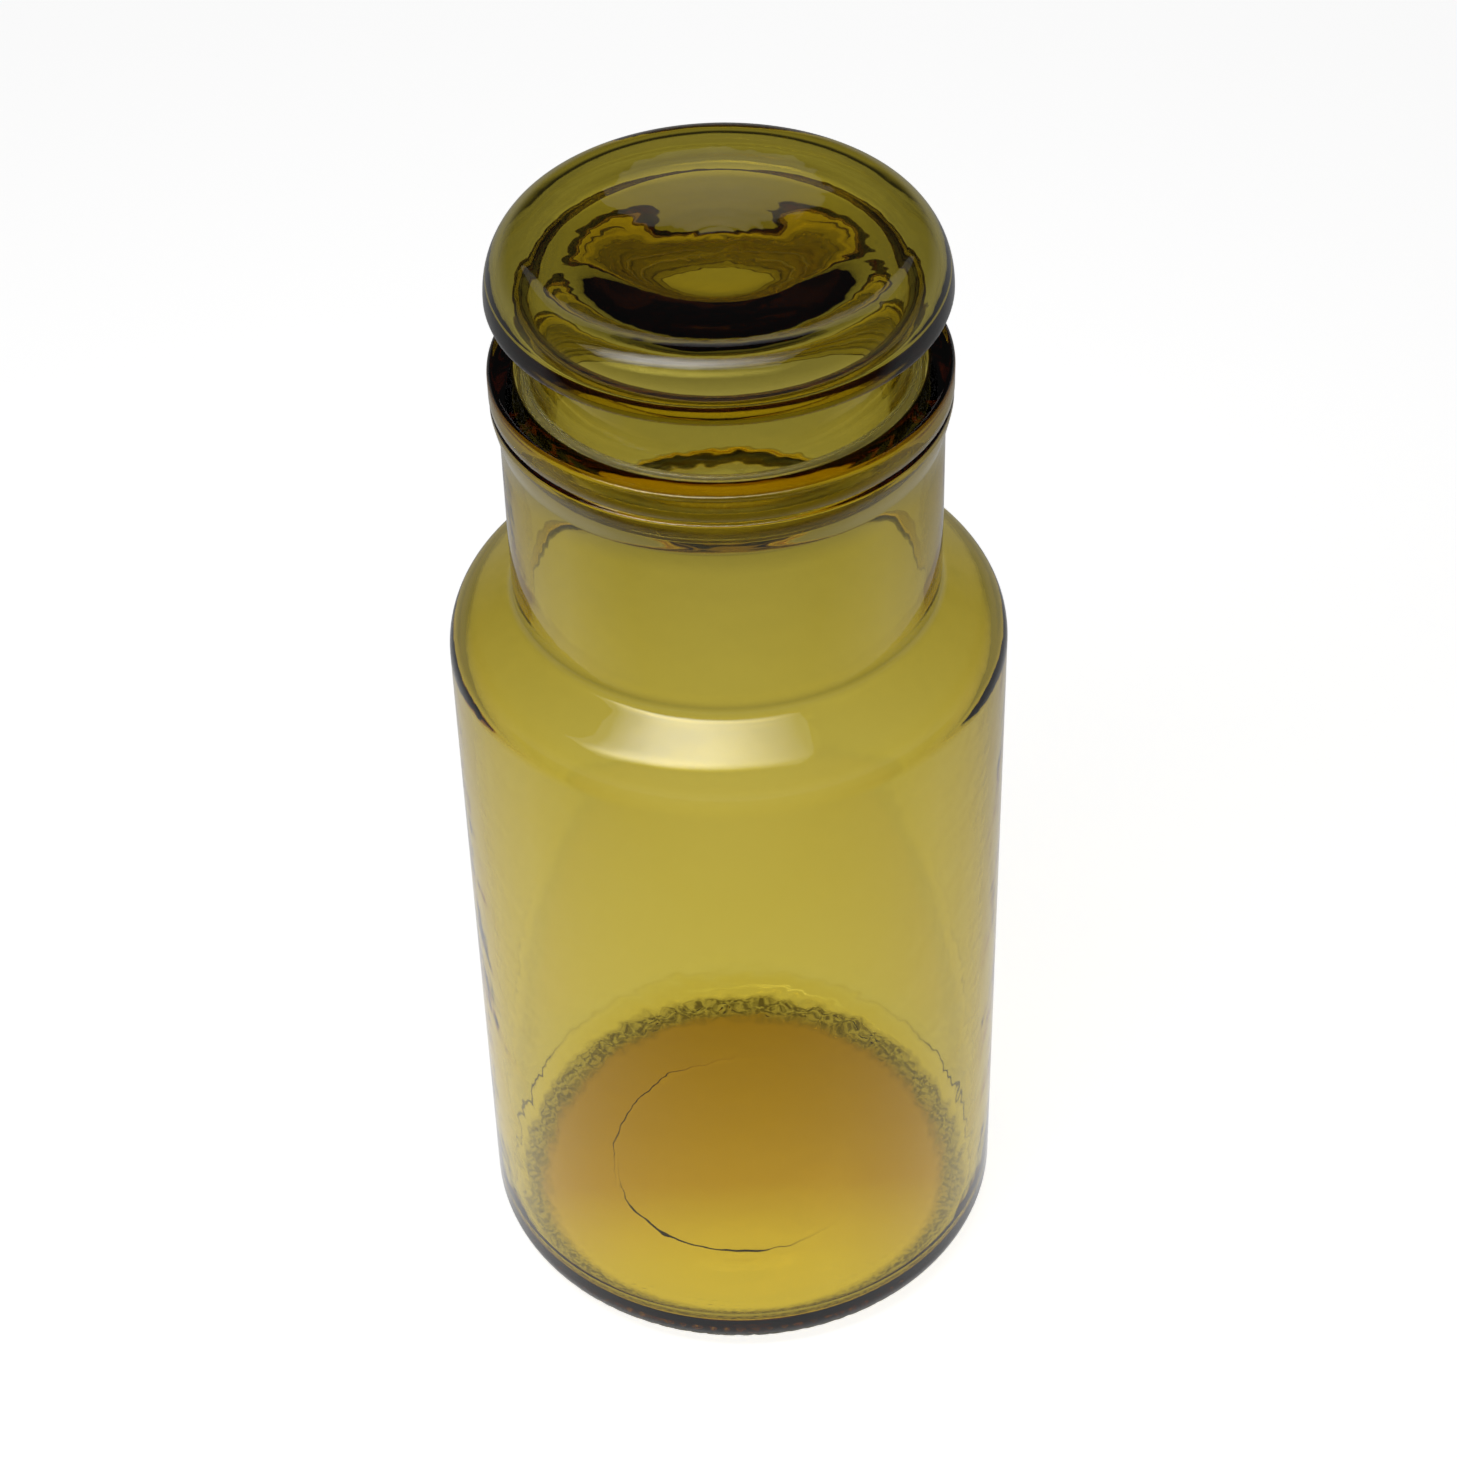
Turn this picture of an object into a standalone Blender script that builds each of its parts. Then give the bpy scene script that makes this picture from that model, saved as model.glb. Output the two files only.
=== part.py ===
"""A stoppered glass specimen jar, one litre, standing on z = 0 with its axis on Z.

Three pieces: the jar, the hollow mushroom stopper and the finned sealing collar round the
stopper's plug. All of them are turned shapes. Units are metres.
"""

from math import cos, pi, radians, sin, tan

import bpy

# Jar body
BODY_RADIUS = 0.0500
WALL = 0.0030
HEEL_RADIUS = 0.0063
SHOULDER_START_Z = 0.1413
SHOULDER_RADIUS = 0.0099
SHOULDER_TURN = 57.0  # degrees the shoulder curves before it runs straight up to the neck
NECK_FILLET = 0.0023
NECK_RADIUS = 0.0381
NECK_WALL = 0.0033

# Jar base
FLOOR_Z = 0.0048
FLOOR_FILLET = 0.0050
BEARING_INNER_RADIUS = 0.0375
PUSH_UP_Z = 0.0010

# Jar lip: a ring above a bead that tapers down to the neck, with a shallow groove between them
LIP_TOP_Z = 0.2015
LIP_RADIUS = 0.0395
LIP_ROUND = 0.0011
MOUTH_ROUND = 0.0007
GROOVE_Z = 0.1960
GROOVE_DEPTH = 0.0008
GROOVE_HALF_HEIGHT = 0.0007
BEAD_RADIUS = 0.0394
BEAD_BOTTOM_Z = 0.1942
BEAD_TAPER = 0.0058

# Stopper: a hollow brim with a dished top, thicker in the middle, on a plug that is open below
BRIM_RADIUS = 0.0391
BRIM_WIDEST_Z = 0.2158
BRIM_BOTTOM_Z = 0.2143
BRIM_EDGE = 0.0050
RIDGE_RADIUS = 0.0315
RIDGE_Z = 0.2263
DISH_Z = 0.2238
PLUG_TOP_RADIUS = 0.0327
PLUG_TOP_Z = 0.2127
PLUG_END_RADIUS = 0.0322
PLUG_END_Z = 0.1885
PLUG_END_ROUND = 0.0012
STOPPER_WALL = 0.0028
THROAT_EXTRA = 0.0012
CEILING_EDGE = 0.0030
BOSS_RADIUS = 0.0120
BOSS_WALL = 0.0048

# Sealing collar: a thin sleeve on the plug with fins that grip the mouth
GAP = 0.0003
SLEEVE_WALL = 0.0009
SLEEVE_TOP_Z = 0.2012
SLEEVE_BOTTOM_Z = 0.1905
FIN_COUNT = 3
FIN_FIRST_Z = 0.1925
FIN_PITCH = 0.0032
FIN_HALF_HEIGHT = 0.0006

STEPS = 48
MERGE_DISTANCE = 0.00001


def arc(centre, start, end, count, width, height=None):
    """Points on an ellipse round (r, z) centre, from angle start to angle end in degrees."""
    height = width if height is None else height
    points = []
    for i in range(count):
        angle = radians(start + (end - start) * i / (count - 1))
        points.append((centre[0] + width * cos(angle), centre[1] + height * sin(angle)))
    return points


def dished(centre_z, ridge_z, ridge_radius, count):
    """A shallow dish from the axis out to its ridge, level at both ends."""
    points = []
    for i in range(count):
        radius = ridge_radius * i / (count - 1)
        rise = 0.5 - 0.5 * cos(pi * radius / ridge_radius)
        points.append((radius, centre_z + (ridge_z - centre_z) * rise))
    return points


def plug_radius(z):
    """The plug's outer radius: it narrows a little towards its open end."""
    share = (z - PLUG_END_Z) / (PLUG_TOP_Z - PLUG_END_Z)
    return PLUG_END_RADIUS + share * (PLUG_TOP_RADIUS - PLUG_END_RADIUS)


def jar_profile():
    """Half section of the jar: up the inside, over the lip and down the outside."""
    bore_radius = NECK_RADIUS - NECK_WALL
    tilt = radians(SHOULDER_TURN)
    shoulder = (BODY_RADIUS - SHOULDER_RADIUS, SHOULDER_START_Z)
    knee = (shoulder[0] + SHOULDER_RADIUS * cos(tilt), shoulder[1] + SHOULDER_RADIUS * sin(tilt))
    fillet_radius = NECK_RADIUS + NECK_FILLET
    foot_z = knee[1] + (knee[0] - fillet_radius + NECK_FILLET * cos(tilt)) / tan(tilt)
    fillet = (fillet_radius, foot_z + NECK_FILLET * sin(tilt))
    inner_body = BODY_RADIUS - WALL
    inner_heel = (inner_body - FLOOR_FILLET, FLOOR_Z + FLOOR_FILLET)
    mouth = (bore_radius + MOUTH_ROUND, LIP_TOP_Z - MOUTH_ROUND)
    lip = (LIP_RADIUS - LIP_ROUND, LIP_TOP_Z - LIP_ROUND)
    heel = (BODY_RADIUS - HEEL_RADIUS, HEEL_RADIUS)

    points = [(0.0, FLOOR_Z)]
    points += arc(inner_heel, -90, 0, 6, FLOOR_FILLET)
    points += arc(shoulder, 0, SHOULDER_TURN, 6, SHOULDER_RADIUS - WALL)
    points += arc(fillet, 180 + SHOULDER_TURN, 180, 5, NECK_FILLET + NECK_WALL)
    points += arc(mouth, 180, 90, 3, MOUTH_ROUND)
    points += arc(lip, 90, 0, 4, LIP_ROUND)
    points += [
        (LIP_RADIUS, GROOVE_Z + GROOVE_HALF_HEIGHT),
        (LIP_RADIUS - GROOVE_DEPTH, GROOVE_Z),
        (BEAD_RADIUS, GROOVE_Z - GROOVE_HALF_HEIGHT),
        (BEAD_RADIUS, BEAD_BOTTOM_Z),
        (NECK_RADIUS, BEAD_BOTTOM_Z - BEAD_TAPER),
    ]
    points += arc(fillet, 180, 180 + SHOULDER_TURN, 4, NECK_FILLET)
    points += arc(shoulder, SHOULDER_TURN, 0, 7, SHOULDER_RADIUS)
    points += arc(heel, 0, -90, 6, HEEL_RADIUS)
    points += [(BEARING_INNER_RADIUS, 0.0), (BEARING_INNER_RADIUS / 2, PUSH_UP_Z * 0.8), (0.0, PUSH_UP_Z)]
    return points


def stopper_profile():
    """Half section of the stopper: down the outside, then up the inside to the ceiling."""
    fillet = (PLUG_TOP_RADIUS + BRIM_BOTTOM_Z - PLUG_TOP_Z, PLUG_TOP_Z)
    fillet_radius = BRIM_BOTTOM_Z - PLUG_TOP_Z
    brim_height = RIDGE_Z - BRIM_WIDEST_Z
    edge = (BRIM_RADIUS - BRIM_EDGE, BRIM_WIDEST_Z)
    throat = (fillet[0] + THROAT_EXTRA, PLUG_TOP_Z)
    throat_height = fillet_radius + STOPPER_WALL
    cavity_floor_z = PLUG_TOP_Z + throat_height
    cavity_radius = BRIM_RADIUS - STOPPER_WALL
    corner = cavity_radius - throat[0]
    ceiling_z = RIDGE_Z - CEILING_EDGE
    bore_end_radius = PLUG_END_RADIUS - STOPPER_WALL
    rim_z = PLUG_END_Z + PLUG_END_ROUND

    points = dished(DISH_Z, RIDGE_Z, RIDGE_RADIUS, 6)
    points += arc((RIDGE_RADIUS, BRIM_WIDEST_Z), 90, 0, 8, BRIM_RADIUS - RIDGE_RADIUS, brim_height)[1:]
    points += arc(edge, 0, -90, 4, BRIM_EDGE, BRIM_WIDEST_Z - BRIM_BOTTOM_Z)[1:-1]
    points += arc(fillet, 90, 180, 4, fillet_radius)
    points += arc((PLUG_END_RADIUS - PLUG_END_ROUND, rim_z), 0, -90, 3, PLUG_END_ROUND)
    points += arc((bore_end_radius + PLUG_END_ROUND, rim_z), -90, -180, 3, PLUG_END_ROUND)
    points += arc(throat, 180, 90, 5, throat_height + THROAT_EXTRA, throat_height)
    points += arc((throat[0], cavity_floor_z + corner), -90, 0, 3, corner)[1:]
    points += arc(
        (RIDGE_RADIUS, cavity_floor_z + corner),
        0,
        90,
        5,
        cavity_radius - RIDGE_RADIUS,
        ceiling_z - cavity_floor_z - corner,
    )[1:]
    boss_z = DISH_Z - BOSS_WALL
    slope = dished(boss_z, ceiling_z, RIDGE_RADIUS - BOSS_RADIUS, 6)[:-1]
    points += reversed([(radius + BOSS_RADIUS, z) for radius, z in slope])
    points.append((0.0, boss_z))
    return points


def collar_profile():
    """Closed half section of the collar: down its finned outside, then up its bore."""

    def outer(z):
        return plug_radius(z) + GAP + SLEEVE_WALL

    fin_radius = NECK_RADIUS - NECK_WALL - GAP
    points = [(outer(SLEEVE_TOP_Z), SLEEVE_TOP_Z)]
    for i in reversed(range(FIN_COUNT)):
        z = FIN_FIRST_Z + i * FIN_PITCH
        points += [
            (outer(z + FIN_HALF_HEIGHT), z + FIN_HALF_HEIGHT),
            (fin_radius, z + FIN_HALF_HEIGHT / 2),
            (fin_radius, z),
            (outer(z - FIN_HALF_HEIGHT), z - FIN_HALF_HEIGHT),
        ]
    points += [
        (outer(SLEEVE_BOTTOM_Z), SLEEVE_BOTTOM_Z),
        (plug_radius(SLEEVE_BOTTOM_Z) + GAP, SLEEVE_BOTTOM_Z),
        (plug_radius(SLEEVE_TOP_Z) + GAP, SLEEVE_TOP_Z),
    ]
    return points


def material(name, colour, roughness, transmission):
    """A Principled material; transmission is 1 for clear glass."""
    made = bpy.data.materials.new(name)
    made.use_nodes = True
    shader = made.node_tree.nodes["Principled BSDF"]
    shader.inputs["Base Color"].default_value = (*colour, 1.0)
    shader.inputs["Roughness"].default_value = roughness
    shader.inputs["Metallic"].default_value = 0.0
    shader.inputs["Transmission Weight"].default_value = transmission
    return made


def turned(name, profile, surface, collection, origin_z=0.0, closed=False):
    """A solid of revolution about Z, with its own origin on the axis at origin_z."""
    vertices = [(r, 0.0, z - origin_z) for r, z in profile]
    edges = [(i, i + 1) for i in range(len(vertices) - 1)]
    if closed:
        edges.append((len(vertices) - 1, 0))
    mesh = bpy.data.meshes.new(name)
    mesh.from_pydata(vertices, edges, [])
    mesh.materials.append(surface)
    piece = bpy.data.objects.new(name, mesh)
    piece.location.z = origin_z
    collection.objects.link(piece)
    screw = piece.modifiers.new("Turn", "SCREW")
    screw.axis = "Z"
    screw.angle = 2 * pi
    screw.steps = STEPS
    screw.render_steps = STEPS
    screw.use_merge_vertices = True
    screw.merge_threshold = MERGE_DISTANCE
    screw.use_smooth_shade = True
    return piece


def clear_scene():
    for item in list(bpy.data.objects):
        bpy.data.objects.remove(item, do_unlink=True)


def build():
    """Makes the three pieces. The stopper hangs from the collar, and the collar from an empty
    on the lifting axis at the mouth."""
    clear_scene()
    parts = bpy.data.collections.new("specimen_jar")
    bpy.context.scene.collection.children.link(parts)

    jar_glass = material("jar_glass", (0.72, 0.66, 0.30), 0.03, 1.0)
    stopper_glass = material("stopper_glass", (0.66, 0.60, 0.24), 0.03, 1.0)
    collar_plastic = material("collar_plastic", (0.86, 0.85, 0.74), 0.25, 1.0)

    turned("jar_body", jar_profile(), jar_glass, parts)

    lift_axis = bpy.data.objects.new("lift_axis", None)
    lift_axis.location.z = LIP_TOP_Z
    parts.objects.link(lift_axis)

    collar = turned("sealing_collar", collar_profile(), collar_plastic, parts, LIP_TOP_Z, closed=True)
    stopper = turned("stopper", stopper_profile(), stopper_glass, parts, LIP_TOP_Z)
    for piece in (collar, stopper):
        piece.location.z = 0.0
        piece.parent = lift_axis


build()
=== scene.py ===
"""Looks for the stoppered specimen jar: fine glass meshes, materials, studio and camera.

Lengths are in metres. Each visual piece is turned from its own half section, then worked over
with the small unevenness of blown glass. The sections repeat the CAD model's dimensions, with
more points. The colours, the studio and the floor's painted light were set to match one
photograph: they are not measurements of the glass.
"""

import math

import bpy
import numpy as np
from mathutils import Matrix, Vector, noise


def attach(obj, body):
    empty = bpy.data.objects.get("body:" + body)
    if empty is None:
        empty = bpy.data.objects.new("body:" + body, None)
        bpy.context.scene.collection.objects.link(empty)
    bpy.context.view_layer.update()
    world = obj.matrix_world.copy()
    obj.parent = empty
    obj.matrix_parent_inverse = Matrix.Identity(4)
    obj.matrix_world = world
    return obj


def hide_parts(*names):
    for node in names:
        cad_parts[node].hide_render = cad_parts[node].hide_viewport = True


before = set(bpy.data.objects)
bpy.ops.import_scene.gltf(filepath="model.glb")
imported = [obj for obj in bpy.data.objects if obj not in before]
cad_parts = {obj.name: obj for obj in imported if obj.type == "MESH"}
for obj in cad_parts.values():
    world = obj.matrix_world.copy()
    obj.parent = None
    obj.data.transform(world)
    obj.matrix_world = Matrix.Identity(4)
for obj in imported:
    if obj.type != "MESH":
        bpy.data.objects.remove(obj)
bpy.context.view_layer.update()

# Jar
BODY_RADIUS = 0.0500
BODY_WALL = 0.0030
HEEL_RADIUS = 0.0063
SHOULDER_START_Z = 0.1413
SHOULDER_RADIUS = 0.0099
SHOULDER_TURN = 57.0  # degrees the shoulder curves before it runs straight up to the neck
NECK_FILLET = 0.0023
NECK_RADIUS = 0.0381
NECK_WALL = 0.0033
FLOOR_Z = 0.0048
FLOOR_FILLET = 0.0050
BEARING_INNER_RADIUS = 0.0375
PUSH_UP_Z = 0.0010
LIP_TOP_Z = 0.2015
LIP_RADIUS = 0.0395
LIP_ROUND = 0.0011
MOUTH_ROUND = 0.0007
GROOVE_Z = 0.1960
GROOVE_DEPTH = 0.0008
GROOVE_HALF_HEIGHT = 0.0007
BEAD_RADIUS = 0.0394
BEAD_BOTTOM_Z = 0.1942
BEAD_TAPER = 0.0058

# Stopper
BRIM_RADIUS = 0.0391
BRIM_WIDEST_Z = 0.2158
BRIM_BOTTOM_Z = 0.2143
BRIM_EDGE = 0.0050
RIDGE_RADIUS = 0.0315
RIDGE_Z = 0.2263
DISH_Z = 0.2238
PLUG_TOP_RADIUS = 0.0327
PLUG_TOP_Z = 0.2127
PLUG_END_RADIUS = 0.0322
PLUG_END_Z = 0.1885
PLUG_END_ROUND = 0.0012
STOPPER_WALL = 0.0028
CEILING_EDGE = 0.0030
THROAT_EXTRA = 0.0012
BOSS_RADIUS = 0.0120
BOSS_WALL = 0.0048

# Collar
GAP = 0.0003
SLEEVE_WALL = 0.0009
SLEEVE_TOP_Z = 0.2012
SLEEVE_BOTTOM_Z = 0.1905
FIN_COUNT = 3
FIN_FIRST_Z = 0.1925
FIN_PITCH = 0.0032
FIN_HALF_HEIGHT = 0.0006

# Colour of the glass, by depth. The stopper's is set darker than the jar's to match the photograph
GLASS_IOR = 1.52
JAR_ABSORPTION_PER_M = 380.0
JAR_TINT = (0.884, 0.803, 0.066)
STOPPER_ABSORPTION_PER_M = 430.0
STOPPER_TINT = (0.845, 0.775, 0.010)

# Unevenness of the jar: swells on its floor and walls, and one low ripple at the floor's front
FLOOR_SWELL = 0.00008
WALL_SWELL = 0.00010
WALL_CALM_HEIGHT = 0.030
MOUTH_CALM_HEIGHT = 0.020
RIPPLE_HEIGHT = 0.00060
RIPPLE_Y = -0.0285
RIPPLE_HALF_WIDTH = 0.0120
RIPPLE_HALF_DEPTH = 0.0034
RIPPLE_START = 0.0180
RIPPLE_END = 0.0370

# Mould ring under the base, deepest on one side
MOULD_RING = 0.0265
MOULD_RING_HALF_WIDTH = 0.0008
MOULD_RING_MARGIN = 0.0018
MOULD_RING_DEPTH = 0.00034
MOULD_RING_SHARPEST = math.radians(215)
MOULD_RING_WORN = 0.12

# Dents in the ring that the jar stands on and low on its heel
STIPPLE_DEPTH = 0.00045
STIPPLE_PITCH = 0.0013
STIPPLE_COUNT = 96
STIPPLE_TOP_Z = 0.0040

# Unevenness of the stopper: fine chill rings in the middle of its top, swells on its inside
CHILL_RING_HEIGHT = 0.00003
CHILL_RING_PITCH = 0.0013
CHILL_RING_REACH = 0.0075
CHILL_RING_END = 0.0140
STOPPER_SWELL = 0.00007
CEILING_START_Z = 0.2195

# Points round each piece
JAR_SEGMENTS = 320
STOPPER_SEGMENTS = 320
COLLAR_SEGMENTS = 256
COLLAR_EDGE = 0.0002


# ---------------------------------------------------------------- sections


def arc(centre, start, end, count, width, height=None):
    """Points on an ellipse round the (r, z) centre, from angle start to angle end in degrees."""
    height = width if height is None else height
    angles = np.radians(np.linspace(start, end, count))
    return [(centre[0] + width * math.cos(a), centre[1] + height * math.sin(a)) for a in angles]


def line(start, end, count):
    """Points from start towards end, without the end itself."""
    return [
        (start[0] + (end[0] - start[0]) * i / count, start[1] + (end[1] - start[1]) * i / count)
        for i in range(count)
    ]


def dished(centre_z, ridge_z, ridge_radius, count):
    """A shallow dish from the axis out to its ridge, level at both ends."""
    points = []
    for i in range(count):
        radius = ridge_radius * i / (count - 1)
        rise = 0.5 - 0.5 * math.cos(math.pi * radius / ridge_radius)
        points.append((radius, centre_z + (ridge_z - centre_z) * rise))
    return points


def plug_radius(z):
    """The plug's outer radius: it narrows a little towards its open end."""
    share = (z - PLUG_END_Z) / (PLUG_TOP_Z - PLUG_END_Z)
    return PLUG_END_RADIUS + share * (PLUG_TOP_RADIUS - PLUG_END_RADIUS)


def jar_section():
    """(inside from the floor's centre to the mouth, outside from the mouth to the base's centre)"""
    bore = NECK_RADIUS - NECK_WALL
    tilt = math.radians(SHOULDER_TURN)
    shoulder = (BODY_RADIUS - SHOULDER_RADIUS, SHOULDER_START_Z)
    knee = (
        shoulder[0] + SHOULDER_RADIUS * math.cos(tilt),
        shoulder[1] + SHOULDER_RADIUS * math.sin(tilt),
    )
    fillet_r = NECK_RADIUS + NECK_FILLET
    foot_r = fillet_r - NECK_FILLET * math.cos(tilt)
    foot_z = knee[1] + (knee[0] - foot_r) / math.tan(tilt)
    fillet = (fillet_r, foot_z + NECK_FILLET * math.sin(tilt))
    inner = BODY_RADIUS - BODY_WALL
    inner_heel = (inner - FLOOR_FILLET, FLOOR_Z + FLOOR_FILLET)
    mouth = (bore + MOUTH_ROUND, LIP_TOP_Z - MOUTH_ROUND)
    lip = (LIP_RADIUS - LIP_ROUND, LIP_TOP_Z - LIP_ROUND)
    heel = (BODY_RADIUS - HEEL_RADIUS, HEEL_RADIUS)

    inside = line((0.0, FLOOR_Z), (RIPPLE_START, FLOOR_Z), 8)
    inside += line((RIPPLE_START, FLOOR_Z), (RIPPLE_END, FLOOR_Z), 22)
    inside += line((RIPPLE_END, FLOOR_Z), (inner_heel[0], FLOOR_Z), 4)
    inside += arc(inner_heel, -90, 0, 12, FLOOR_FILLET)
    inside += line((inner, inner_heel[1]), (inner, SHOULDER_START_Z), 26)[1:]
    inside += arc(shoulder, 0, SHOULDER_TURN, 14, SHOULDER_RADIUS - BODY_WALL)
    inner_fillet = arc(fillet, 180 + SHOULDER_TURN, 180, 12, NECK_FILLET + NECK_WALL)
    inside += line(inside[-1], inner_fillet[0], 6)[1:] + inner_fillet
    inside += line((bore, fillet[1]), (bore, mouth[1]), 9)[1:]
    inside += arc(mouth, 180, 90, 5, MOUTH_ROUND)

    outside = arc(lip, 90, 0, 6, LIP_ROUND)
    outside += line((LIP_RADIUS, lip[1]), (LIP_RADIUS, GROOVE_Z + GROOVE_HALF_HEIGHT), 3)[1:]
    outside += groove()
    outside += line((BEAD_RADIUS, GROOVE_Z - GROOVE_HALF_HEIGHT), (BEAD_RADIUS, BEAD_BOTTOM_Z), 4)[1:]
    outside += bead_taper(16)
    outside += line((NECK_RADIUS, BEAD_BOTTOM_Z - BEAD_TAPER), (NECK_RADIUS, fillet[1]), 8)[1:]
    outside += arc(fillet, 180, 180 + SHOULDER_TURN, 9, NECK_FILLET)
    outside += line(outside[-1], knee, 7)[1:]
    outside += arc(shoulder, SHOULDER_TURN, 0, 18, SHOULDER_RADIUS)
    outside += line((BODY_RADIUS, SHOULDER_START_Z), (BODY_RADIUS, HEEL_RADIUS), 26)[1:]
    outside += arc(heel, 0, -90, 22, HEEL_RADIUS)
    outside += line((heel[0], 0.0), (BEARING_INNER_RADIUS, 0.0), 20)[1:]
    outer = np.linspace(BEARING_INNER_RADIUS, MOULD_RING + MOULD_RING_MARGIN, 9)[:-1]
    ring = np.linspace(MOULD_RING + MOULD_RING_MARGIN, MOULD_RING - MOULD_RING_MARGIN, 19)[:-1]
    centre = np.linspace(MOULD_RING - MOULD_RING_MARGIN, 0.0, 14)
    for radius in np.concatenate([outer, ring, centre]):
        outside.append((float(radius), push_up(radius)))
    return inside, outside


def push_up(radius):
    """Height of the base's underside: a low dome inside the ring that the jar stands on."""
    rise = 0.5 + 0.5 * math.cos(math.pi * radius / BEARING_INNER_RADIUS)
    return PUSH_UP_Z * rise ** 0.5


def groove():
    """The rounded groove between the lip's ring and its bead."""
    points = []
    for i in range(9):
        share = i / 8
        z = GROOVE_Z + GROOVE_HALF_HEIGHT * (1 - 2 * share)
        edge = LIP_RADIUS + (BEAD_RADIUS - LIP_RADIUS) * share
        depth = GROOVE_DEPTH * (0.5 - 0.5 * math.cos(2 * math.pi * share))
        points.append((edge - depth, z))
    return points


def bead_taper(count):
    """The bead's underside, an easy curve down to the neck."""
    points = []
    for i in range(count):
        share = i / (count - 1)
        ease = 1.08 * share - 0.08 * math.sin(math.pi * share) - 0.08 * share ** 8
        radius = BEAD_RADIUS + (NECK_RADIUS - BEAD_RADIUS) * ease
        points.append((radius, BEAD_BOTTOM_Z - BEAD_TAPER * share))
    return points


def stopper_section():
    """(outside from the top's centre to the plug's end, inside from there to the ceiling)"""
    fillet = (PLUG_TOP_RADIUS + BRIM_BOTTOM_Z - PLUG_TOP_Z, PLUG_TOP_Z)
    fillet_radius = BRIM_BOTTOM_Z - PLUG_TOP_Z
    edge = (BRIM_RADIUS - BRIM_EDGE, BRIM_WIDEST_Z)
    throat = fillet_radius + STOPPER_WALL + THROAT_EXTRA
    cavity_floor = PLUG_TOP_Z + fillet_radius + STOPPER_WALL
    cavity = BRIM_RADIUS - STOPPER_WALL
    corner = cavity - fillet[0] - THROAT_EXTRA
    ceiling = RIDGE_Z - CEILING_EDGE
    bore_end = PLUG_END_RADIUS - STOPPER_WALL
    rim = PLUG_END_Z + PLUG_END_ROUND

    outside = dished(DISH_Z, RIDGE_Z, RIDGE_RADIUS, 40)
    brim_width = BRIM_RADIUS - RIDGE_RADIUS
    outside += arc((RIDGE_RADIUS, BRIM_WIDEST_Z), 90, 0, 24, brim_width, RIDGE_Z - BRIM_WIDEST_Z)[1:]
    outside += arc(edge, 0, -90, 10, BRIM_EDGE, BRIM_WIDEST_Z - BRIM_BOTTOM_Z)[1:-1]
    outside += arc(fillet, 90, 180, 8, fillet_radius)
    outside += line((PLUG_TOP_RADIUS, PLUG_TOP_Z), (PLUG_END_RADIUS, rim), 8)[1:]
    outside += arc((PLUG_END_RADIUS - PLUG_END_ROUND, rim), 0, -90, 6, PLUG_END_ROUND)

    inside = arc((bore_end + PLUG_END_ROUND, rim), -90, -180, 6, PLUG_END_ROUND)
    throat_r = fillet[0] + THROAT_EXTRA
    inside += line((bore_end, rim), (throat_r - throat, PLUG_TOP_Z), 8)[1:]
    inside += arc((throat_r, PLUG_TOP_Z), 180, 90, 14, throat, cavity_floor - PLUG_TOP_Z)
    inside += arc((throat_r, cavity_floor + corner), -90, 0, 7, corner)[1:]
    inside += arc(
        (RIDGE_RADIUS, cavity_floor + corner),
        0,
        90,
        12,
        cavity - RIDGE_RADIUS,
        ceiling - cavity_floor - corner,
    )[1:]
    for i in range(1, 41):
        radius = RIDGE_RADIUS * (1 - i / 40)
        share = min(1.0, max(0.0, (radius - BOSS_RADIUS) / (RIDGE_RADIUS - BOSS_RADIUS)))
        rise = 0.5 - 0.5 * math.cos(math.pi * share)
        inside.append((radius, DISH_Z - BOSS_WALL + (ceiling - DISH_Z + BOSS_WALL) * rise))
    return outside, inside


def collar_section():
    """Closed section: down the finned outside, then up the bore."""

    def outer(z):
        return plug_radius(z) + GAP + SLEEVE_WALL

    fin_radius = NECK_RADIUS - NECK_WALL - GAP
    points = [
        (outer(SLEEVE_TOP_Z) - COLLAR_EDGE, SLEEVE_TOP_Z),
        (outer(SLEEVE_TOP_Z), SLEEVE_TOP_Z - COLLAR_EDGE),
    ]
    for i in reversed(range(FIN_COUNT)):
        z = FIN_FIRST_Z + i * FIN_PITCH
        top = (outer(z + FIN_HALF_HEIGHT), z + FIN_HALF_HEIGHT)
        low = (outer(z - FIN_HALF_HEIGHT), z - FIN_HALF_HEIGHT)
        points += line(top, (fin_radius, z + FIN_HALF_HEIGHT / 2), 3)
        tip = FIN_HALF_HEIGHT / 4
        points += arc((fin_radius - tip, z + tip), 90, -90, 5, tip)
        points += line((fin_radius - tip, z), low, 3)[1:]
        points += [low]
    bottom = plug_radius(SLEEVE_BOTTOM_Z) + GAP
    top = plug_radius(SLEEVE_TOP_Z) + GAP
    points += [(outer(SLEEVE_BOTTOM_Z), SLEEVE_BOTTOM_Z)]
    points += line((bottom, SLEEVE_BOTTOM_Z), (top, SLEEVE_TOP_Z), 8)
    points += [(top, SLEEVE_TOP_Z)]
    return points


# ---------------------------------------------------------------- meshes


def section_normals(section, closed):
    """Unit normals of a section in (r, z), out of the solid when the outside runs downwards."""
    p = np.array(section)
    if closed:
        along = np.roll(p, -1, axis=0) - np.roll(p, 1, axis=0)
    else:
        along = np.gradient(p, axis=0)
    normals = np.stack([-along[:, 1], along[:, 0]], axis=1)
    return normals / np.maximum(np.linalg.norm(normals, axis=1), 1e-12)[:, None]


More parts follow.
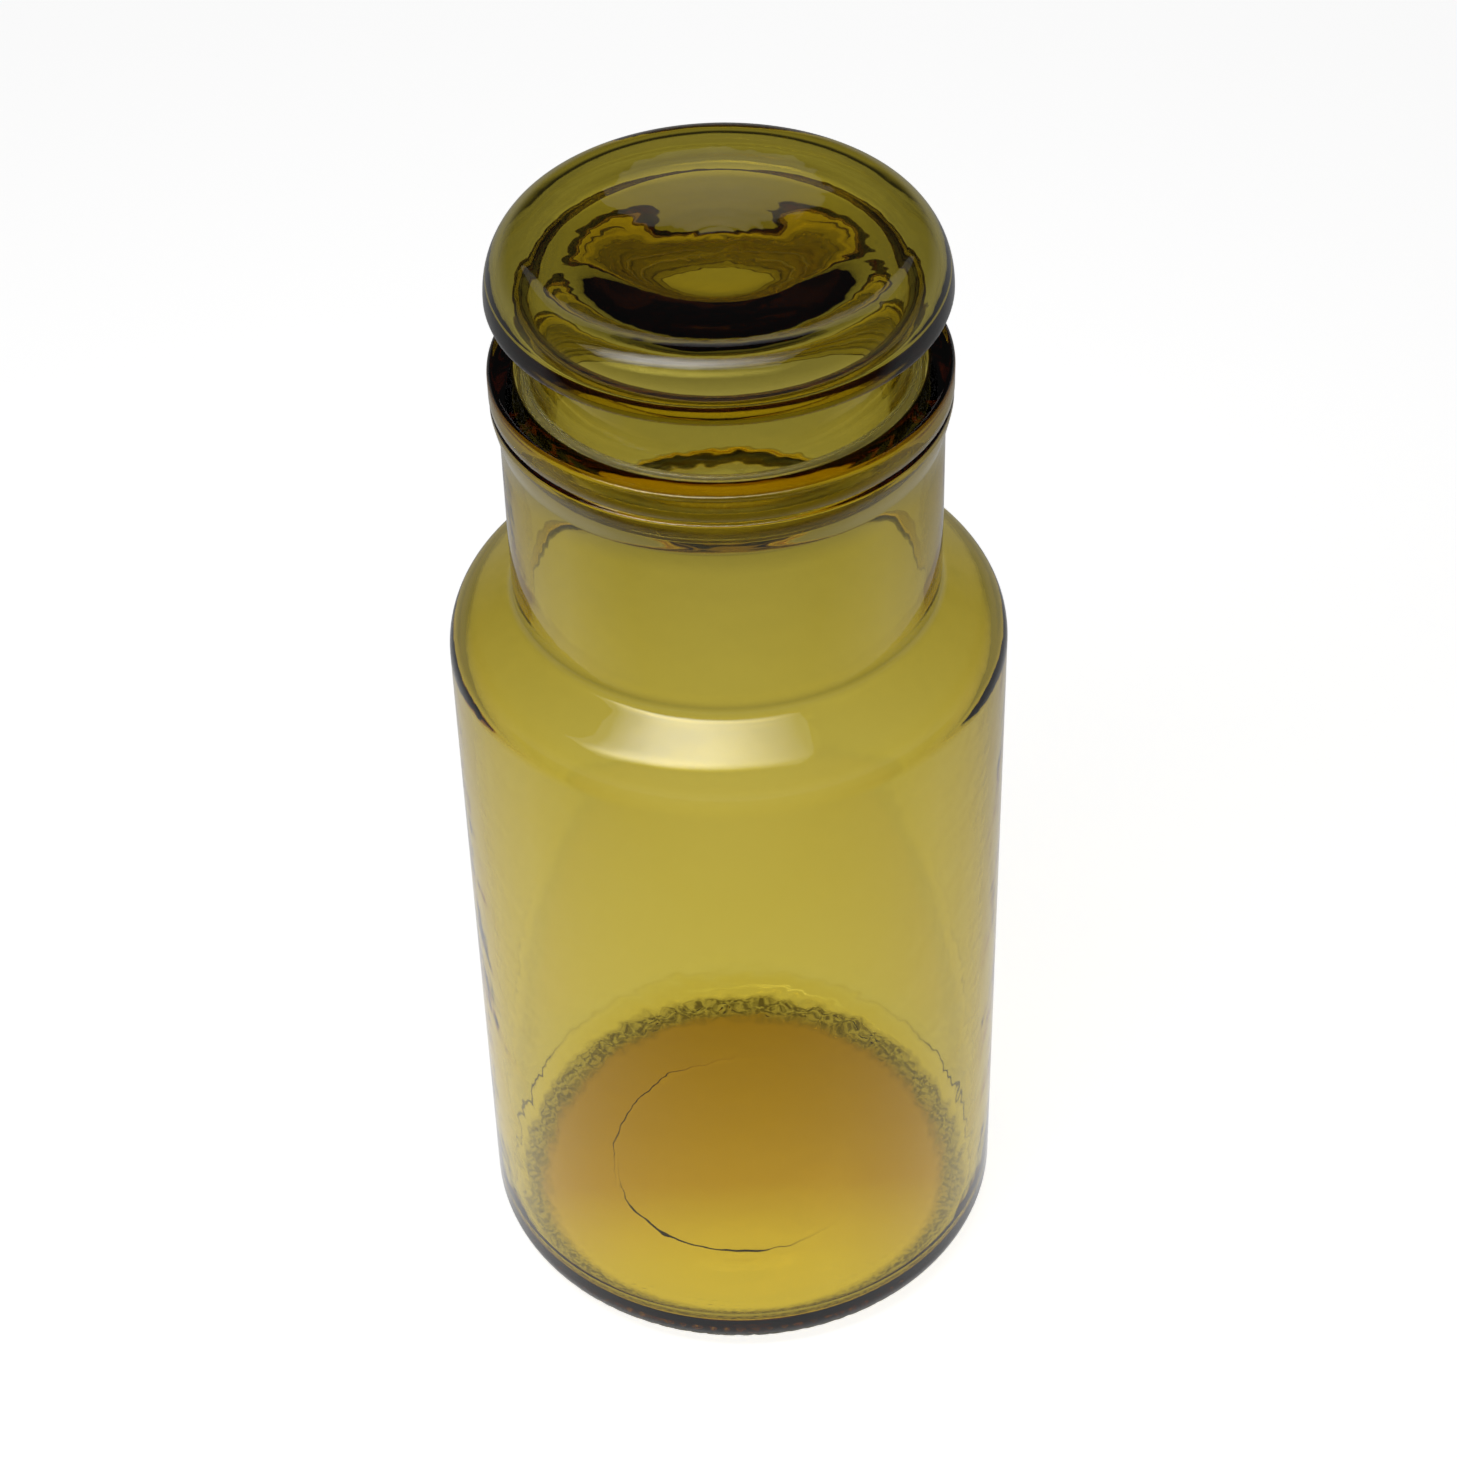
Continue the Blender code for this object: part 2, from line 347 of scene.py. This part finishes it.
def turned(name, section, segments, offset=None, closed=False):
    """A solid of revolution. offset(r, z, angle, row) moves each point out along its normal."""
    p = np.array(section)
    normals = section_normals(section, closed)
    angles = np.linspace(0, 2 * math.pi, segments, endpoint=False)
    verts, ids = [], []
    for row, (radius, z) in enumerate(section):
        if radius < 1e-9:
            ids.append([len(verts)] * segments)
            verts.append((0.0, 0.0, z))
            continue
        ids.append(list(range(len(verts), len(verts) + segments)))
        for angle in angles:
            move = offset(radius, z, angle, row) if offset else 0.0
            r = p[row, 0] + normals[row, 0] * move
            verts.append((r * math.cos(angle), r * math.sin(angle), z + normals[row, 1] * move))
    faces = []
    pairs = list(zip(range(len(section) - 1), range(1, len(section))))
    if closed:
        pairs.append((len(section) - 1, 0))
    for a, b in pairs:
        for j in range(segments):
            k = (j + 1) % segments
            corners = [ids[a][j], ids[b][j], ids[b][k], ids[a][k]]
            faces.append(list(dict.fromkeys(corners)))
    mesh = bpy.data.meshes.new(name)
    mesh.from_pydata(verts, [], faces)
    mesh.validate()
    mesh.shade_smooth()
    piece = bpy.data.objects.new(name, mesh)
    bpy.context.scene.collection.objects.link(piece)
    return piece


def wave(angle, z, around, along, seed):
    """Smooth noise on a cylinder: around is its size as a radius, along its stretch in z."""
    return noise.noise(Vector((around * math.cos(angle), around * math.sin(angle), z * along + seed)))


def bump_ring(radius, at, half_width):
    """A smooth bump of height 1 across one radius."""
    share = abs(radius - at) / half_width
    return (0.5 + 0.5 * math.cos(math.pi * share)) if share < 1 else 0.0


def stipple(radius, z, angle):
    """Depth of the small dents in the ring that the jar stands on and low on its heel."""
    x, y = radius * math.cos(angle), radius * math.sin(angle)
    along = BODY_RADIUS - HEEL_RADIUS - radius if z < 1e-6 else -z * 1.8
    rows = math.sin(along / STIPPLE_PITCH * math.pi)
    cells = rows * math.sin(angle * STIPPLE_COUNT + (1.6 if rows < 0 else 0.0))
    patchy = 0.75 + 0.9 * noise.noise(Vector((x * 190, y * 190, z * 190)))
    edge = min(1.0, max(0.0, (radius - BEARING_INNER_RADIUS) / 0.002))
    edge *= min(1.0, max(0.0, (STIPPLE_TOP_Z - z) / 0.0015))
    return STIPPLE_DEPTH * edge * max(0.0, cells) * max(0.0, patchy)


def jar_offset(inside_rows):
    """How far the jar's surface stands off its section at each point."""

    def offset(radius, z, angle, row):
        x, y = radius * math.cos(angle), radius * math.sin(angle)
        if row < inside_rows and z < FLOOR_Z + 0.0001:
            fade = min(1.0, radius / 0.004)
            swell = noise.noise(Vector((x * 45, y * 45, 7.0)))
            across = (x / RIPPLE_HALF_WIDTH) ** 2 + ((y - RIPPLE_Y) / RIPPLE_HALF_DEPTH) ** 2
            return fade * FLOOR_SWELL * swell + RIPPLE_HEIGHT * math.exp(-2.2 * across)
        if row < inside_rows:
            calm = min(1.0, (z - FLOOR_Z) / WALL_CALM_HEIGHT) ** 2
            calm *= min(1.0, max(0.0, (LIP_TOP_Z - z) / MOUTH_CALM_HEIGHT))
            return calm * WALL_SWELL * wave(angle, z, 1.2, 16, 3.0)
        if radius < BEARING_INNER_RADIUS - 0.0001 and z < 0.003:
            worn = max(MOULD_RING_WORN, 0.5 + 0.5 * math.cos(angle - MOULD_RING_SHARPEST))
            return -MOULD_RING_DEPTH * worn * bump_ring(radius, MOULD_RING, MOULD_RING_HALF_WIDTH)
        if z < STIPPLE_TOP_Z:
            return -stipple(radius, z, angle)
        return 0.0

    return offset


def stopper_offset(outside_rows):
    """How far the stopper's surface stands off its section at each point."""

    def offset(radius, z, angle, row):
        if row < outside_rows and z > DISH_Z - 0.0005 and radius < CHILL_RING_END:
            rings = math.cos(radius / CHILL_RING_PITCH * 2 * math.pi)
            return CHILL_RING_HEIGHT * rings * math.exp(-((radius / CHILL_RING_REACH) ** 2))
        if row >= outside_rows and z <= CEILING_START_Z:
            return STOPPER_SWELL * wave(angle, z, 1.6, 30, 9.0)
        return 0.0

    return offset


# ---------------------------------------------------------------- materials


def new_material(name):
    made = bpy.data.materials.new(name)
    made.use_nodes = True
    tree = made.node_tree
    return made, tree, tree.nodes["Principled BSDF"]


def noise_node(tree, vector, scale, detail, roughness=0.5):
    made = tree.nodes.new("ShaderNodeTexNoise")
    made.inputs["Scale"].default_value = scale
    made.inputs["Detail"].default_value = detail
    made.inputs["Roughness"].default_value = roughness
    tree.links.new(vector, made.inputs["Vector"])
    return made.outputs["Fac"]


def ranged(tree, value, low, high, new_low, new_high):
    made = tree.nodes.new("ShaderNodeMapRange")
    made.inputs["From Min"].default_value = low
    made.inputs["From Max"].default_value = high
    made.inputs["To Min"].default_value = new_low
    made.inputs["To Max"].default_value = new_high
    tree.links.new(value, made.inputs["Value"])
    return made.outputs["Result"]


def colour_mix(tree, share, first, second):
    """Mix of two colours, each a value or a socket. A colour mix has its colours at 6 and 7."""
    made = tree.nodes.new("ShaderNodeMix")
    made.data_type = "RGBA"
    tree.links.new(share, made.inputs[0])
    for socket, colour in ((made.inputs[6], first), (made.inputs[7], second)):
        if isinstance(colour, tuple):
            socket.default_value = colour
        else:
            tree.links.new(colour, socket)
    return made.outputs[2]


def bump(tree, shader, height, strength, distance):
    made = tree.nodes.new("ShaderNodeBump")
    made.inputs["Strength"].default_value = strength
    made.inputs["Distance"].default_value = distance
    tree.links.new(height, made.inputs["Height"])
    tree.links.new(made.outputs["Normal"], shader.inputs["Normal"])


def glass(name, swirl_scale, tint, absorption_per_m):
    """Olive-amber glass: clear surface with faint smudges, colour from depth of glass only."""
    made, tree, shader = new_material(name)
    shader.inputs["Base Color"].default_value = (1.0, 1.0, 1.0, 1.0)
    shader.inputs["Transmission Weight"].default_value = 1.0
    shader.inputs["IOR"].default_value = GLASS_IOR
    where = tree.nodes.new("ShaderNodeTexCoord").outputs["Object"]
    smudge = noise_node(tree, where, 38.0, 5.0, 0.62)
    rough = ranged(tree, smudge, 0.50, 0.78, 0.004, 0.060)
    tree.links.new(rough, shader.inputs["Roughness"])
    swirl = noise_node(tree, where, swirl_scale, 2.0)
    bump(tree, shader, swirl, 0.22, 0.0004)
    volume = tree.nodes.new("ShaderNodeVolumeAbsorption")
    volume.inputs["Color"].default_value = (*tint, 1.0)
    volume.inputs["Density"].default_value = absorption_per_m
    tree.links.new(volume.outputs["Volume"], tree.nodes["Material Output"].inputs["Volume"])
    return made


def polyethylene():
    """Translucent moulded plastic with a fine grain and a faint cloudiness."""
    made, tree, shader = new_material("collar_plastic_look")
    shader.inputs["Transmission Weight"].default_value = 0.92
    shader.inputs["IOR"].default_value = 1.51
    where = tree.nodes.new("ShaderNodeTexCoord").outputs["Object"]
    grain = noise_node(tree, where, 420.0, 4.0)
    cloud = noise_node(tree, where, 60.0, 3.0)
    mixed = colour_mix(tree, cloud, (0.90, 0.89, 0.80, 1.0), (0.80, 0.78, 0.64, 1.0))
    tree.links.new(mixed, shader.inputs["Base Color"])
    tree.links.new(ranged(tree, grain, 0.3, 0.7, 0.12, 0.24), shader.inputs["Roughness"])
    bump(tree, shader, grain, 0.15, 0.0001)
    return made


# ---------------------------------------------------------------- pieces


def make_pieces():
    """The jar, its stopper and the collar between them, each riding on its own body."""
    inside, outside = jar_section()
    uneven = jar_offset(len(inside))
    jar = turned("jar_glass_body", inside + outside, JAR_SEGMENTS, uneven)
    jar.data.materials.append(glass("jar_glass_look", 95.0, JAR_TINT, JAR_ABSORPTION_PER_M))
    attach(jar, "jar")
    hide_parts("jar_body")

    outside, inside = stopper_section()
    uneven = stopper_offset(len(outside))
    stopper = turned("stopper_glass_piece", outside + inside, STOPPER_SEGMENTS, uneven)
    look = glass("stopper_glass_look", 120.0, STOPPER_TINT, STOPPER_ABSORPTION_PER_M)
    stopper.data.materials.append(look)
    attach(stopper, "stopper")
    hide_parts("stopper")

    collar = turned("collar_sleeve", collar_section(), COLLAR_SEGMENTS, closed=True)
    collar.data.materials.append(polyethylene())
    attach(collar, "collar")
    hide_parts("sealing_collar")


# ---------------------------------------------------------------- studio

FLOOR_SIZE = 8.0
FLOOR_LEVEL = -0.0002
SOFTBOX_Z = 0.450
# Each softbox: centre x, centre y, width, depth, radiance at its middle, share left at its edges
SOFTBOXES = (
    (-0.095, -0.140, 0.440, 0.150, 7.0, 0.10),
    (0.000, 0.190, 0.360, 0.200, 0.8, 0.40),
)

# The light that the glass sees from the floor is painted: its brightness near the foot and far off,
# the distance that sets its fall, and the share that reflections of the front floor keep
FLOOR_GLOW = 0.83
FLOOR_FAR_GLOW = 0.28
FLOOR_GLOW_FOOT = (-0.03, 0.0, 0.0)
FLOOR_GLOW_REACH = 0.36
FLOOR_FRONT_SHADE = 0.08
FRONT_SHADE_NEAR_Y = -0.170
FRONT_SHADE_FAR_Y = -0.020
FLOOR_LIFT = 0.88  # what is added to the lit floor where the camera sees it

# Painted light under the jar: a warm disc, brightest at the front and dimmer to the back, inside a dark
# speckled ring of painted shade
DISC_CENTRE = (0.0, -0.0015, 0.0)
DISC_RADIUS = 0.0405
DISC_EDGE_RADIUS = 0.0440
DISC_HALF_DEPTH = 0.044
DISC_PAINTED_LIGHT = (
    (0.00, (1.36, 1.30, 0.76)),
    (0.18, (1.17, 1.06, 0.44)),
    (0.42, (0.80, 0.57, 0.10)),
    (0.60, (0.69, 0.48, 0.06)),
    (1.00, (0.53, 0.37, 0.04)),
)
# Colour of the painted shade in the ring round the jar's foot, and the radii where it rises and falls
CONTACT_SHADE = (0.20, 0.18, 0.04, 1.0)
CONTACT_RADII = (0.0390, 0.0420, 0.0460, 0.0490)

# How bright the glass sees the surroundings, at the horizon and above it, and the camera sees them
HORIZON_GLOW = 0.28
SKY_GLOW = 0.03
SKY_START_Z = 0.30
SEEN_GLOW = 1.0


def maths(tree, operation, first, second=0.0):
    made = tree.nodes.new("ShaderNodeMath")
    made.operation = operation
    for socket, value in zip(made.inputs, (first, second)):
        if isinstance(value, (int, float)):
            socket.default_value = value
        else:
            tree.links.new(value, socket)
    return made.outputs["Value"]


def floor_brightness(tree, where):
    """Painted brightness of the floor, falling away from a foot, with its front dimmed in
    reflections because the photograph shows almost none of it on the jar's wall."""
    offset = tree.nodes.new("ShaderNodeVectorMath")
    offset.operation = "DISTANCE"
    tree.links.new(where, offset.inputs[0])
    offset.inputs[1].default_value = FLOOR_GLOW_FOOT
    share = maths(tree, "DIVIDE", offset.outputs["Value"], FLOOR_GLOW_REACH)
    spread = maths(tree, "ADD", maths(tree, "MULTIPLY", share, share), 1.0)
    open_floor = maths(tree, "DIVIDE", FLOOR_GLOW, maths(tree, "MULTIPLY", spread, spread))
    open_floor = maths(tree, "MAXIMUM", open_floor, FLOOR_FAR_GLOW)
    split = tree.nodes.new("ShaderNodeSeparateXYZ")
    tree.links.new(where, split.inputs["Vector"])
    near = ranged(tree, split.outputs["Y"], FRONT_SHADE_NEAR_Y, FRONT_SHADE_FAR_Y, FLOOR_FRONT_SHADE, 1.0)
    mirrored = tree.nodes.new("ShaderNodeLightPath").outputs["Is Glossy Ray"]
    shade = maths(tree, "MULTIPLY", mirrored, maths(tree, "SUBTRACT", 1.0, near))
    return maths(tree, "MULTIPLY", open_floor, maths(tree, "SUBTRACT", 1.0, shade))


def under_jar(tree, where):
    """Painted light on the floor under the jar, in warm tints. It stands in for the light that would
    reach the floor through the base. It is not computed from the glass and doesn't move with it."""
    split = tree.nodes.new("ShaderNodeSeparateXYZ")
    tree.links.new(where, split.inputs["Vector"])
    length = tree.nodes.new("ShaderNodeVectorMath")
    length.operation = "DISTANCE"
    length.inputs[1].default_value = DISC_CENTRE
    tree.links.new(where, length.inputs[0])
    radius = length.outputs["Value"]
    ramp = tree.nodes.new("ShaderNodeValToRGB")
    while len(ramp.color_ramp.elements) < len(DISC_PAINTED_LIGHT):
        ramp.color_ramp.elements.new(0.5)
    for element, (position, colour) in zip(ramp.color_ramp.elements, DISC_PAINTED_LIGHT):
        element.position = position
        element.color = (*colour, 1.0)
    front_to_back = ranged(tree, split.outputs["Y"], -DISC_HALF_DEPTH, DISC_HALF_DEPTH, 0.0, 1.0)
    tree.links.new(front_to_back, ramp.inputs["Fac"])
    inside = ranged(tree, radius, DISC_RADIUS, DISC_EDGE_RADIUS, 1.0, 0.0)
    disc = colour_mix(tree, inside, (1.0, 1.0, 1.0, 1.0), ramp.outputs["Color"])
    return painted_contact_shade(tree, where, radius, disc)


def painted_contact_shade(tree, where, radius, under):
    """Painted shade: a dark speckled ring on the floor, round the foot of the jar."""
    rise = ranged(tree, radius, CONTACT_RADII[0], CONTACT_RADII[1], 0.0, 1.0)
    fall = ranged(tree, radius, CONTACT_RADII[2], CONTACT_RADII[3], 1.0, 0.0)
    grain = ranged(tree, noise_node(tree, where, 950.0, 2.0), 0.40, 0.60, 0.45, 1.0)
    share = maths(tree, "MULTIPLY", maths(tree, "MULTIPLY", rise, fall), grain)
    return colour_mix(tree, share, under, CONTACT_SHADE)


def floor():
    """A floor that is plain and pale to the camera only, which sees it lit and lifted towards
    white. Every other ray, and so the glass, sees the painted light and painted shade instead."""
    bpy.ops.mesh.primitive_plane_add(size=FLOOR_SIZE, location=(0, 0, FLOOR_LEVEL))
    plane = bpy.context.object
    plane.name = "studio_floor"
    made, tree, shader = new_material("floor_paper")
    shader.inputs["Base Color"].default_value = (0.80, 0.80, 0.80, 1.0)
    shader.inputs["Roughness"].default_value = 0.9
    shader.inputs["Specular IOR Level"].default_value = 0.1
    shader.inputs["Emission Color"].default_value = (1.0, 1.0, 1.0, 1.0)
    shader.inputs["Emission Strength"].default_value = FLOOR_LIFT
    where = tree.nodes.new("ShaderNodeNewGeometry").outputs["Position"]
    glow = tree.nodes.new("ShaderNodeEmission")
    tree.links.new(under_jar(tree, where), glow.inputs["Color"])
    tree.links.new(floor_brightness(tree, where), glow.inputs["Strength"])
    path = tree.nodes.new("ShaderNodeLightPath")
    mix = tree.nodes.new("ShaderNodeMixShader")
    tree.links.new(path.outputs["Is Camera Ray"], mix.inputs["Fac"])
    tree.links.new(glow.outputs["Emission"], mix.inputs[1])
    tree.links.new(shader.outputs["BSDF"], mix.inputs[2])
    tree.links.new(mix.outputs["Shader"], tree.nodes["Material Output"].inputs["Surface"])
    plane.data.materials.append(made)


def softbox(name, x, y, width, depth, radiance, edge_share):
    """An overhead softbox that fades from its middle to its edges."""
    data = bpy.data.lights.new(name, "AREA")
    data.shape = "RECTANGLE"
    data.size = width
    data.size_y = depth
    data.energy = radiance * math.pi * width * depth
    data.use_nodes = True
    tree = data.node_tree
    where = tree.nodes.new("ShaderNodeNewGeometry").outputs["Parametric"]
    place = tree.nodes.new("ShaderNodeMapping")
    place.inputs["Location"].default_value = (-1.0, -1.0, 0.0)
    place.inputs["Scale"].default_value = (2.0, 2.0, 2.0)
    tree.links.new(where, place.inputs["Vector"])
    fall = tree.nodes.new("ShaderNodeTexGradient")
    fall.gradient_type = "SPHERICAL"
    tree.links.new(place.outputs["Vector"], fall.inputs["Vector"])
    level = ranged(tree, fall.outputs["Fac"], 0.0, 0.75, edge_share, 1.0)
    tree.links.new(level, tree.nodes["Emission"].inputs["Strength"])
    lamp = bpy.data.objects.new(name, data)
    bpy.context.scene.collection.objects.link(lamp)
    lamp.location = (x, y, SOFTBOX_Z)


def surroundings():
    """White to the camera. To the glass, a dim studio that is brightest at the horizon."""
    world = bpy.data.worlds.new("studio")
    bpy.context.scene.world = world
    world.use_nodes = True
    tree = world.node_tree
    back = tree.nodes["Background"]
    out = tree.nodes["World Output"]
    where = tree.nodes.new("ShaderNodeTexCoord").outputs["Generated"]
    split = tree.nodes.new("ShaderNodeSeparateXYZ")
    tree.links.new(where, split.inputs["Vector"])
    glow = ranged(tree, split.outputs["Z"], 0.0, SKY_START_Z, HORIZON_GLOW, SKY_GLOW)
    tree.links.new(glow, back.inputs["Strength"])
    back.inputs["Color"].default_value = (1.0, 1.0, 1.0, 1.0)
    seen = tree.nodes.new("ShaderNodeBackground")
    seen.inputs["Color"].default_value = (1.0, 1.0, 1.0, 1.0)
    seen.inputs["Strength"].default_value = SEEN_GLOW
    path = tree.nodes.new("ShaderNodeLightPath")
    mix = tree.nodes.new("ShaderNodeMixShader")
    tree.links.new(path.outputs["Is Camera Ray"], mix.inputs["Fac"])
    tree.links.new(back.outputs["Background"], mix.inputs[1])
    tree.links.new(seen.outputs["Background"], mix.inputs[2])
    tree.links.new(mix.outputs["Shader"], out.inputs["Surface"])


# ---------------------------------------------------------------- camera

CAMERA_AT = (0.0, -0.4873, 0.5472)
CAMERA_PITCH_DOWN = 41.40
CAMERA_TURN = -0.06
CAMERA_ROLL = -1.68
CAMERA_LENS_MM = 87.24


def camera():
    """The photograph's viewing angle, from a fit to the jar's outline."""
    data = bpy.data.cameras.new("camera")
    data.sensor_width = 36.0
    data.lens = CAMERA_LENS_MM
    data.clip_start = 0.01
    eye = bpy.data.objects.new("camera", data)
    bpy.context.scene.collection.objects.link(eye)
    pitch = Matrix.Rotation(math.radians(90 - CAMERA_PITCH_DOWN), 4, "X")
    turn = Matrix.Rotation(math.radians(-CAMERA_TURN), 4, "Z")
    roll = Matrix.Rotation(math.radians(CAMERA_ROLL), 4, "Z")
    eye.matrix_world = Matrix.Translation(CAMERA_AT) @ turn @ pitch @ roll
    bpy.context.scene.camera = eye


def light_paths():
    """Enough bounces for light to pass every wall of glass, with no blurring of its path."""
    scene = bpy.context.scene
    scene.view_settings.view_transform = "Standard"
    scene.cycles.max_bounces = 20
    scene.cycles.transmission_bounces = 18
    scene.cycles.glossy_bounces = 12
    scene.cycles.diffuse_bounces = 4
    scene.cycles.volume_bounces = 0
    scene.cycles.sample_clamp_indirect = 8.0
    scene.cycles.blur_glossy = 0.0


make_pieces()
floor()
for i, panel in enumerate(SOFTBOXES):
    softbox(f"softbox_{i}", *panel)
surroundings()
camera()
light_paths()
